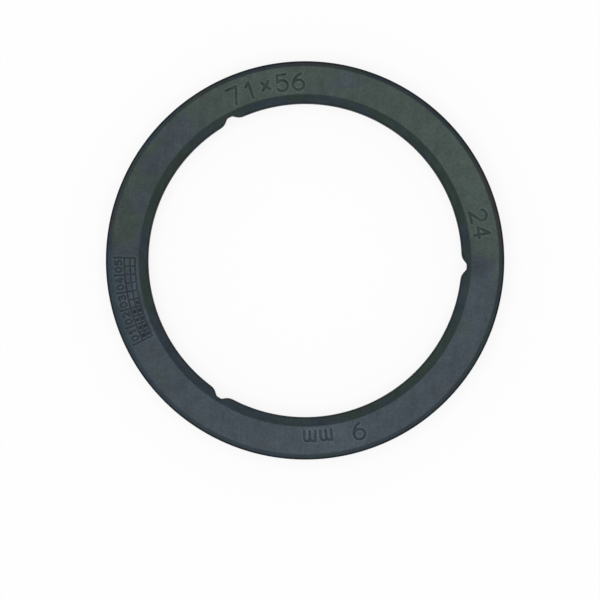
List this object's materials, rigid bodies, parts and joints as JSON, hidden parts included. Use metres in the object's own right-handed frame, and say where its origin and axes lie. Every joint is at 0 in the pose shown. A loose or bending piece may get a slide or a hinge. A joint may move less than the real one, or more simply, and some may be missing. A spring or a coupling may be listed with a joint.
{
  "type": "group head gasket",
  "caption": "Flat moulded rubber sealing ring with a bevelled bore and outer edge and small vertical notches in the bore wall.",
  "frame": {"origin": "on the ring's axis, in the plane of the plain underside", "axes": "+Z along the ring's axis, out of the bevelled and marked top face; +X through the middle of one notch"},
  "size_m": [0.071, 0.071, 0.009],
  "materials": {
    "rubber": "matt dark grey moulded rubber, slightly mottled"
  },
  "bodies": {
    "root": {"gasket": "rubber"}
  },
  "joints": []
}
